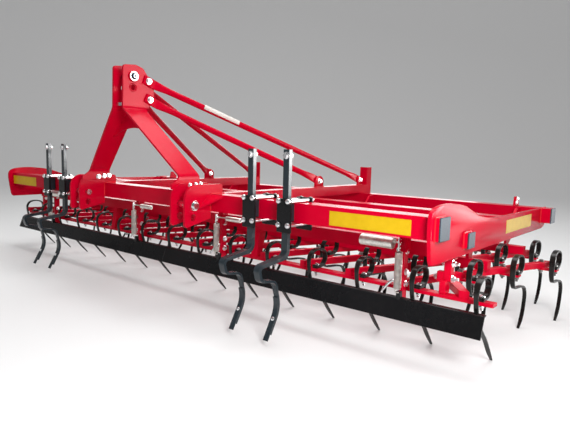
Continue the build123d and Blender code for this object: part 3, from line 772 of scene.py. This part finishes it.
for side, suffix in SIDES:
    plates, rods, points = bmesh.new(), bmesh.new(), bmesh.new()
    for x in (side * shank_x for shank_x in LOOSENER_X):
        for y, half in ((CLAMP_FRONT, FRONT_HALF), (BEAM_D, BACK_HALF)):
            slab(plates, (x - half, y, CLAMP_TOP - CLAMP_H), (x + half, y + CLAMP_T, CLAMP_TOP), 2.0)
        for bx in (x - CLAMP_GAP, x + CLAMP_GAP):
            for bz in (BEAM_TOP + CLAMP_R + 0.5, BEAM_LOW - CLAMP_R - 0.5):
                turned(rods, (bx, CLAMP_FRONT, bz), (0, 1, 0),
                       ((0, CLAMP_R), (CLAMP_BACK - CLAMP_FRONT, CLAMP_R)), 14)
                turned(rods, (bx, CLAMP_FRONT, bz), (0, -1, 0), DOME, 18)
                bolt_tail(rods, (bx, CLAMP_BACK, bz), (0, 1, 0), 18.0, 11.0, 8.0)
        bolt_head(points, (x, SHANK_Y - SHANK_T / 2, SHANK_BOLT_Z), (0, -1, 0), 19.0, 8.0)
        bolt_tail(points, (x, SHANK_Y + SHANK_T / 2, SHANK_BOLT_Z), (0, 1, 0), 19.0, 9.0, 5.0)
        turned(points, (x, *POINT_BOLT), POINT_LOOK, POINT_PROFILE, 16)
    piece("loosener_plates_" + suffix, plates, BLACK, ["loosener_clamps_" + suffix])
    piece("loosener_rods_" + suffix, rods, BOLT)
    piece("loosener_bolts_" + suffix, points, BOLT)


# Bolts of the mast's feet, the stays and the rear lugs, places (y, z)

FOOT_BOLTS, FOOT_IN, FOOT_OUT = ((-44, 564), (-11, 566), (17, 568)), 356.9, 380.8
REAR_LUG_BOLTS, REAR_LUG_X = ((1228, 497), (1245, 514)), 1377
TONGUE_FACE_X, CHEEK_INNER_X, TONGUE_T = 52.4, 34, 8.6

bolts = bmesh.new()
for side, _ in SIDES:
    out, inward = (side, 0, 0), (-side, 0, 0)
    for y, z in FOOT_BOLTS:
        bolt_head(bolts, (side * FOOT_IN, y, z), inward, 19, 9)
        turned(bolts, (side * FOOT_OUT, y, z), out, DOME, 18)
    for y, z in MAST_BOLTS.values():
        bolt_head(bolts, (side * TONGUE_FACE_X, y, z), out, 22, 10)
        bolt_tail(bolts, (side * CHEEK_INNER_X, y, z), inward, 22, 8, 3)
    for y, z in (FRONT_LUG, REAR_LUG):
        bolt_head(bolts, (side * (LONG_X + LUG_T / 2), y, z), out, 20, 9)
        bolt_tail(bolts, (side * (LONG_X - LUG_T / 2 - TONGUE_T), y, z), inward, 20, 9, 5)
    for y, z in REAR_LUG_BOLTS:
        bolt_head(bolts, (side * REAR_LUG_X, y, z), out, 14, 6)
piece("frame_bolts", bolts, BOLT)


# Weld beads where plates and beams meet

# Beam ends at the end plates: y, y, z, z
WELDED_ENDS = (FRONT_END, SECOND_END, (REAR_FRONT, REAR_BACK, CROSS_LOW, CROSS_TOP))
PLATE_WELD, BRACKET_WELD, LUG_WELD = 3.4, 3.0, 2.6

beads = bmesh.new()
for side, _ in SIDES:
    x = side * (FRAME_HALF + 1.5)
    for y0, y1, z0, z1 in WELDED_ENDS:
        for a, b in (((x, y0, z0), (x, y0, z1)), ((x, y1, z0), (x, y1, z1)),
                     ((x, y0, z0), (x, y1, z0)), ((x, y0, z1), (x, y1, z1))):
            bead(beads, a, b, PLATE_WELD)
    bead(beads, (side * (LONG_X - LONG_HALF), BEAM_D + 1, BEAM_TOP + 0.5),
         (side * (LONG_X + LONG_HALF), BEAM_D + 1, BEAM_TOP + 0.5), BRACKET_WELD)
    for x in (face for plate in BRACKET_X for face in plate):
        bead(beads, (side * x, -1.5, BEAM_LOW + 3), (side * x, -1.5, BEAM_TOP - 2), BRACKET_WELD)
        bead(beads, (side * x, 2, BEAM_TOP + 1), (side * x, 66, BEAM_TOP + 1), BRACKET_WELD)
    for (y, _), half, _ in LUGS:
        for x in (LONG_X - LUG_T / 2 - 1, LONG_X + LUG_T / 2 + 1):
            bead(beads, (side * x, y - half, BEAM_TOP + 1), (side * x, y + half, BEAM_TOP + 1), LUG_WELD)
piece("weld_beads", beads, WELD)


# Blank labels on the end plates and the front beam, and the pale one round a stay

FILM = 0.7
# x, y and z, each from and to
LABELS = (((FRAME_HALF, FRAME_HALF + FILM), (700, 1052), (408, 464)),
          ((-FRAME_HALF - FILM, -FRAME_HALF), (700, 1052), (408, 464)),
          ((1101, 1421), (-FILM, 0), (463, 515)),
          ((-1476, -1158), (-FILM, 0), (460, 514)))
STICKER_SPAN = (0.215, 0.29, 0.365)    # shares of the stay's length
STICKER_FROM, STICKER_STEP, STICKER_STEPS = -40, 15, 8    # degrees round the stay
STICKER_OUT, STICKER_IN = STAY_R + 0.5, STAY_R - 0.3

labels, sticker = bmesh.new(), bmesh.new()
for (x0, x1), (y0, y1), (z0, z1) in LABELS:
    slab(labels, (x0, y0, z0), (x1, y1, z1), 0.2)
piece("labels", labels, YELLOW)

start, end = stay_ends(1, MAST_BOLTS["upper"], REAR_LUG)
along = (end - start).normalized()
upward = Vector((1, 0, 0)).cross(along).normalized()
outward = along.cross(upward)
turns = [math.radians(STICKER_FROM + STICKER_STEP * i) for i in range(STICKER_STEPS + 1)]
loft(sticker, [[start.lerp(end, t) + (outward * math.cos(a) + upward * math.sin(a)) * r
                for r, angles in ((STICKER_OUT, turns), (STICKER_IN, turns[::-1]))
                for a in angles] for t in STICKER_SPAN])
piece("stay_sticker", sticker, PALE)


# Floor that sweeps up behind the machine, in metres

FLOOR_HALF, FLOOR_NEAR, FLOOR_FAR, SWEEP_R, WALL_TOP = 30, -12.0, 6.0, 4, 14.0
FLOOR_GREY, FLOOR_LIFT = 0.62, 0.20

sweep = bmesh.new()
away = Vector((look.x, look.y, 0)).normalized()
aside = Vector((away.y, -away.x, 0))
profile = [(FLOOR_NEAR, 0.0), (FLOOR_FAR, 0.0)]
profile += [(FLOOR_FAR + SWEEP_R * math.sin(a), SWEEP_R - SWEEP_R * math.cos(a))
            for a in (math.radians(7.5 * i) for i in range(1, 13))]
profile.append((FLOOR_FAR + SWEEP_R, WALL_TOP))
rows = [[sweep.verts.new(away * d + aside * w + Vector((0, 0, h))) for w in (-FLOOR_HALF, FLOOR_HALF)]
        for d, h in profile]
for (a, b), (c, d) in zip(rows, rows[1:]):
    sweep.faces.new((a, b, d, c)).smooth = True
floor_mesh = bpy.data.meshes.new("floor")
sweep.to_mesh(floor_mesh)
sweep.free()
floor = bpy.data.objects.new("floor", floor_mesh)
bpy.context.scene.collection.objects.link(floor)

floor_looks, nodes, links, shader = material("floor_pale")
shader.inputs["Base Color"].default_value = (*grey(FLOOR_GREY), 1)
shader.inputs["Roughness"].default_value = 0.8
shader.inputs["Specular IOR Level"].default_value = 0.1
shader.inputs["Emission Color"].default_value = (1, 1, 1, 1)
# The floor looks a little paler than it is lit, also in gloss and glass
rays = nodes.new("ShaderNodeLightPath")
seen = rays.outputs["Is Camera Ray"]
for kind in ("Is Glossy Ray", "Is Transmission Ray"):
    either = nodes.new("ShaderNodeMath")
    either.operation = "MAXIMUM"
    links.new(seen, either.inputs[0])
    links.new(rays.outputs[kind], either.inputs[1])
    seen = either.outputs["Value"]
lift = nodes.new("ShaderNodeMath")
lift.operation = "MULTIPLY"
lift.inputs[1].default_value = FLOOR_LIFT
links.new(seen, lift.inputs[0])
links.new(lift.outputs["Value"], shader.inputs["Emission Strength"])
floor_mesh.materials.append(floor_looks)


# Soft light, in metres and watts

world = bpy.data.worlds.new("world")
bpy.context.scene.world = world
world.use_nodes = True
background = world.node_tree.nodes["Background"]
background.inputs["Color"].default_value = (0.95, 0.95, 0.96, 1)
background.inputs["Strength"].default_value = 0.26

# Name, place, target, width and height, power, seen by matt surfaces, seen in gloss
LAMPS = (
    ("top", (0.3, 0.6, 4.6), (0, 0, 0.4), (4.5, 3.0), 220, True, True),
    ("side", (2.5, -1.6, 1.25), (1.45, -0.45, 0.5), (0.6, 0.6), 48, True, False),
    ("front", (-0.6, -4.2, 2.0), (0, 0, 0.4), (3.0, 1.4), 14, True, False),
    ("gleam", (6.2, 4.6, 2.2), (0.3, -0.3, 0.6), (3.6, 3.6), 700, False, True),
    ("low gleam", (3.2, 2.4, 0.66), (0.0, 2.4, 0.66), (3.6, 1.28), 150, False, True),
    ("back", (-4.6, 5.6, 1.7), (0, 0, 0.5), (8.0, 2.2), 110, False, True))

for name, where, target, size, power, matt, gloss in LAMPS:
    data = bpy.data.lights.new(name, "AREA")
    data.shape = "RECTANGLE"
    data.size, data.size_y = size
    data.energy = power
    lamp = bpy.data.objects.new(name, data)
    lamp.location = where
    lamp.rotation_euler = (Vector(target) - Vector(where)).to_track_quat("-Z", "Y").to_euler()
    lamp.visible_camera = False
    lamp.visible_diffuse = matt
    lamp.visible_glossy = gloss
    bpy.context.scene.collection.objects.link(lamp)

bpy.context.scene.view_settings.view_transform = "Standard"
